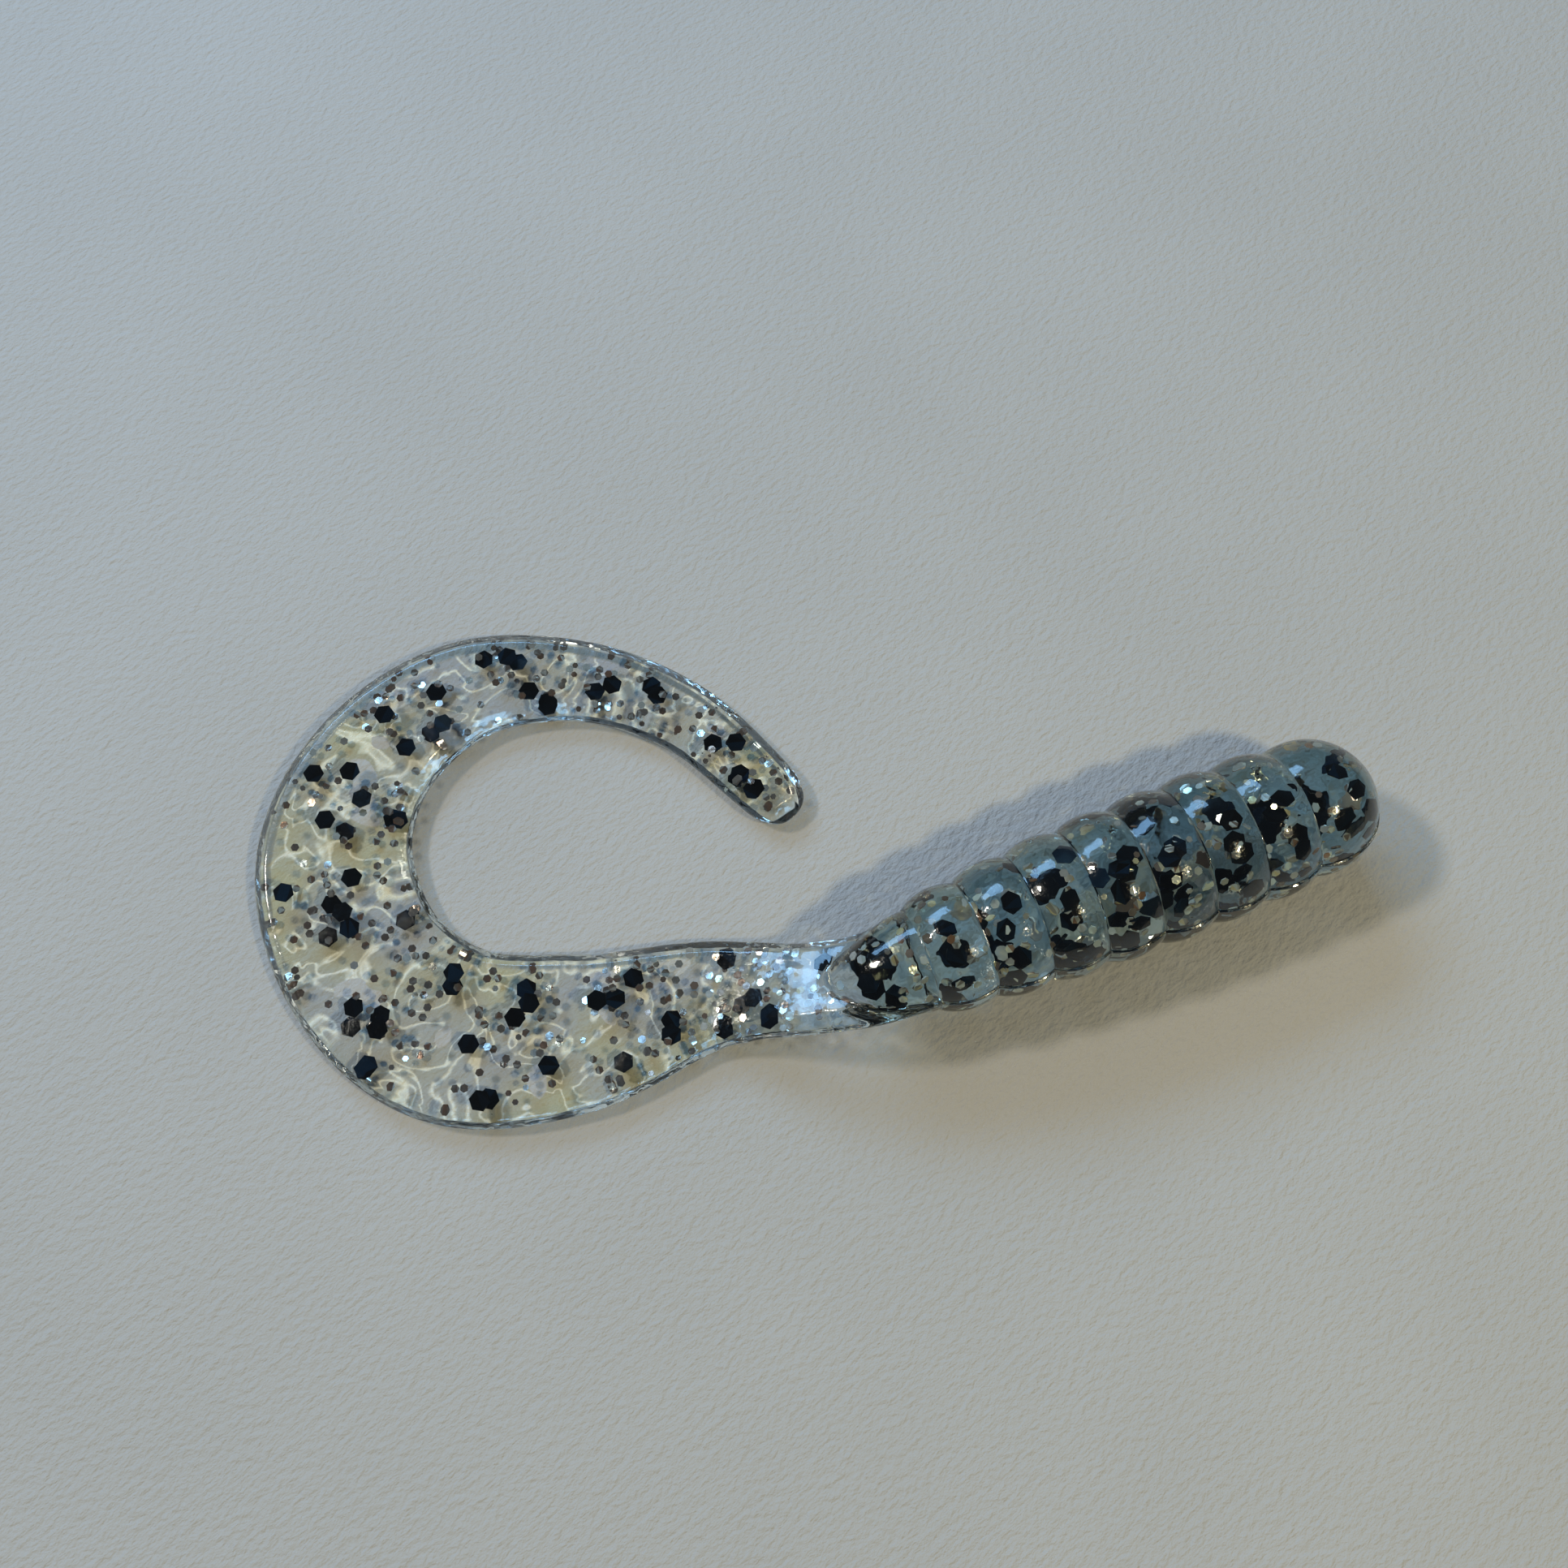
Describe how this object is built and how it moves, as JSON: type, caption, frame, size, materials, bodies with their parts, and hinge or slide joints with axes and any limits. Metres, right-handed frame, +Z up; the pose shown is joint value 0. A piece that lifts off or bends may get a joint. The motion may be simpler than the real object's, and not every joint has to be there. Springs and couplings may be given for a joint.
{
  "type": "soft plastic worm",
  "caption": "Curly-tail grub lure: ringed round body with a ball head and a flat C-shaped tail in clear soft plastic with black and silver glitter, bending at every groove and along the tail.",
  "frame": {"origin": "centre of the small flat on the nose, on the axis of the round body", "axes": "+X out of the nose along the body's axis, +Z up out of the flat tail as the lure lies on a table, +Y toward the side that the C-shaped tail curls to"},
  "size_m": [0.0574, 0.0314, 0.0081],
  "materials": {
    "body_plastisol": "glossy translucent smoke-blue soft plastic",
    "tail_plastisol": "glossy, nearly clear soft plastic",
    "black_glitter": "black polyester film flake",
    "silver_glitter": "silver metallised polyester film flake"
  },
  "bodies": {
    "head": {"head": "body_plastisol", "black_flakes_head": "black_glitter", "silver_flakes_head": "silver_glitter"},
    "ring_1": {"ring_1": "body_plastisol", "black_flakes_ring_1": "black_glitter", "silver_flakes_ring_1": "silver_glitter"},
    "ring_2": {"ring_2": "body_plastisol", "black_flakes_ring_2": "black_glitter", "silver_flakes_ring_2": "silver_glitter"},
    "ring_3": {"ring_3": "body_plastisol", "black_flakes_ring_3": "black_glitter", "silver_flakes_ring_3": "silver_glitter"},
    "ring_4": {"ring_4": "body_plastisol", "black_flakes_ring_4": "black_glitter", "silver_flakes_ring_4": "silver_glitter"},
    "ring_5": {"ring_5": "body_plastisol", "black_flakes_ring_5": "black_glitter", "silver_flakes_ring_5": "silver_glitter"},
    "ring_6": {"ring_6": "body_plastisol", "black_flakes_ring_6": "black_glitter", "silver_flakes_ring_6": "silver_glitter"},
    "ring_7": {"ring_7": "body_plastisol", "black_flakes_ring_7": "black_glitter", "silver_flakes_ring_7": "silver_glitter"},
    "tail_cone": {"tail_cone": "body_plastisol", "black_flakes_tail_cone": "black_glitter", "silver_flakes_tail_cone": "silver_glitter"},
    "tail_neck": {"tail_neck": "tail_plastisol", "black_flakes_tail_neck": "black_glitter", "silver_flakes_tail_neck": "silver_glitter"},
    "tail_blade_1": {"tail_blade_1": "tail_plastisol", "black_flakes_tail_blade_1": "black_glitter", "silver_flakes_tail_blade_1": "silver_glitter"},
    "tail_blade_2": {"tail_blade_2": "tail_plastisol", "black_flakes_tail_blade_2": "black_glitter", "silver_flakes_tail_blade_2": "silver_glitter"},
    "tail_blade_3": {"tail_blade_3": "tail_plastisol", "black_flakes_tail_blade_3": "black_glitter", "silver_flakes_tail_blade_3": "silver_glitter"},
    "tail_blade_4": {"tail_blade_4": "tail_plastisol", "black_flakes_tail_blade_4": "black_glitter", "silver_flakes_tail_blade_4": "silver_glitter"},
    "tail_blade_5": {"tail_blade_5": "tail_plastisol", "black_flakes_tail_blade_5": "black_glitter", "silver_flakes_tail_blade_5": "silver_glitter"},
    "tail_blade_6": {"tail_blade_6": "tail_plastisol", "black_flakes_tail_blade_6": "black_glitter", "silver_flakes_tail_blade_6": "silver_glitter"},
    "tail_blade_7": {"tail_blade_7": "tail_plastisol", "black_flakes_tail_blade_7": "black_glitter", "silver_flakes_tail_blade_7": "silver_glitter"},
    "tail_blade_8": {"tail_blade_8": "tail_plastisol", "black_flakes_tail_blade_8": "black_glitter", "silver_flakes_tail_blade_8": "silver_glitter"},
    "tail_tip": {"tail_tip": "tail_plastisol", "black_flakes_tail_tip": "black_glitter", "silver_flakes_tail_tip": "silver_glitter"}
  },
  "joints": [
    {"name": "body_sway", "type": "hinge", "parent": "head", "child": "ring_1", "pos_m": [-0.0046, 0, 0], "axis": [0.01, 0.015, 0.9998], "range_deg": [-8, 8], "stiffness_Nm_per_rad": 0.004},
    {"name": "body_arch", "type": "hinge", "parent": "ring_1", "child": "ring_2", "pos_m": [-0.0076, 0, 0], "axis": [0.01, 0.9998, 0.02], "range_deg": [-8, 8], "stiffness_Nm_per_rad": 0.004},
    {"name": "body_sway_2", "type": "hinge", "parent": "ring_2", "child": "ring_3", "pos_m": [-0.0106, 0, 0], "axis": [0.01, 0.015, 0.9998], "range_deg": [-8, 8], "stiffness_Nm_per_rad": 0.004},
    {"name": "body_arch_2", "type": "hinge", "parent": "ring_3", "child": "ring_4", "pos_m": [-0.0136, 0, 0], "axis": [0.01, 0.9998, 0.02], "range_deg": [-8, 8], "stiffness_Nm_per_rad": 0.004},
    {"name": "body_sway_3", "type": "hinge", "parent": "ring_4", "child": "ring_5", "pos_m": [-0.0166, 0, 0], "axis": [0.01, 0.015, 0.9998], "range_deg": [-8, 8], "stiffness_Nm_per_rad": 0.004},
    {"name": "body_arch_3", "type": "hinge", "parent": "ring_5", "child": "ring_6", "pos_m": [-0.0196, 0, 0], "axis": [0.01, 0.9998, 0.02], "range_deg": [-8, 8], "stiffness_Nm_per_rad": 0.004},
    {"name": "body_sway_4", "type": "hinge", "parent": "ring_6", "child": "ring_7", "pos_m": [-0.0226, 0, 0], "axis": [0.01, 0.015, 0.9998], "range_deg": [-8, 8], "stiffness_Nm_per_rad": 0.004},
    {"name": "body_arch_4", "type": "hinge", "parent": "ring_7", "child": "tail_cone", "pos_m": [-0.0256, 0, 0], "axis": [0.01, 0.9998, 0.02], "range_deg": [-8, 8], "stiffness_Nm_per_rad": 0.004},
    {"name": "tail_flap", "type": "hinge", "parent": "tail_cone", "child": "tail_neck", "pos_m": [-0.03144, 0.00095, -0.00114], "axis": [0.4096, 0.8893, -0.2034], "range_deg": [-14, 14], "stiffness_Nm_per_rad": 0.00006},
    {"name": "tail_curl", "type": "hinge", "parent": "tail_neck", "child": "tail_blade_1", "pos_m": [-0.03714, 0.00305, -0.00318], "axis": [-0.0333, 0.021, 0.9992], "range_deg": [-3, 5], "stiffness_Nm_per_rad": 0.001},
    {"name": "tail_flap_2", "type": "hinge", "parent": "tail_blade_1", "child": "tail_blade_2", "pos_m": [-0.04354, 0.00365, -0.00318], "axis": [0.2261, 0.9741, 0], "range_deg": [-14, 14], "stiffness_Nm_per_rad": 0.00006},
    {"name": "tail_curl_2", "type": "hinge", "parent": "tail_blade_2", "child": "tail_blade_3", "pos_m": [-0.04944, 0.00595, -0.00318], "axis": [0.01, 0.015, 0.9998], "range_deg": [-3, 5], "stiffness_Nm_per_rad": 0.001},
    {"name": "tail_flap_3", "type": "hinge", "parent": "tail_blade_3", "child": "tail_blade_4", "pos_m": [-0.05264, 0.0112, -0.00318], "axis": [0.9675, 0.253, 0], "range_deg": [-14, 14], "stiffness_Nm_per_rad": 0.00006},
    {"name": "tail_curl_3", "type": "hinge", "parent": "tail_blade_4", "child": "tail_blade_5", "pos_m": [-0.05249, 0.0176, -0.00318], "axis": [0.01, 0.015, 0.9998], "range_deg": [-3, 5], "stiffness_Nm_per_rad": 0.001},
    {"name": "tail_flap_4", "type": "hinge", "parent": "tail_blade_5", "child": "tail_blade_6", "pos_m": [-0.04874, 0.0223, -0.00318], "axis": [0.5672, -0.8236, 0], "range_deg": [-14, 14], "stiffness_Nm_per_rad": 0.00006},
    {"name": "tail_curl_4", "type": "hinge", "parent": "tail_blade_6", "child": "tail_blade_7", "pos_m": [-0.04284, 0.02425, -0.00318], "axis": [0.01, 0.015, 0.9998], "range_deg": [-3, 5], "stiffness_Nm_per_rad": 0.001},
    {"name": "tail_flap_5", "type": "hinge", "parent": "tail_blade_7", "child": "tail_blade_8", "pos_m": [-0.03674, 0.0225, -0.00318], "axis": [-0.4742, -0.8804, 0], "range_deg": [-14, 14], "stiffness_Nm_per_rad": 0.00006},
    {"name": "tail_curl_5", "type": "hinge", "parent": "tail_blade_8", "child": "tail_tip", "pos_m": [-0.03214, 0.0185, -0.00318], "axis": [0.01, 0.015, 0.9998], "range_deg": [-3, 5], "stiffness_Nm_per_rad": 0.001}
  ],
  "couplings": [
    {"joint": "body_sway_2", "follows": "body_sway", "ratio": 1},
    {"joint": "body_arch_2", "follows": "body_arch", "ratio": 1},
    {"joint": "body_sway_3", "follows": "body_sway", "ratio": 1},
    {"joint": "body_arch_3", "follows": "body_arch", "ratio": 1},
    {"joint": "body_sway_4", "follows": "body_sway", "ratio": 1},
    {"joint": "body_arch_4", "follows": "body_arch", "ratio": 1},
    {"joint": "tail_flap_2", "follows": "tail_flap", "ratio": 1},
    {"joint": "tail_curl_2", "follows": "tail_curl", "ratio": 1},
    {"joint": "tail_flap_3", "follows": "tail_flap", "ratio": 1},
    {"joint": "tail_curl_3", "follows": "tail_curl", "ratio": 1},
    {"joint": "tail_flap_4", "follows": "tail_flap", "ratio": 1},
    {"joint": "tail_curl_4", "follows": "tail_curl", "ratio": 1},
    {"joint": "tail_flap_5", "follows": "tail_flap", "ratio": 1},
    {"joint": "tail_curl_5", "follows": "tail_curl", "ratio": 1}
  ]
}
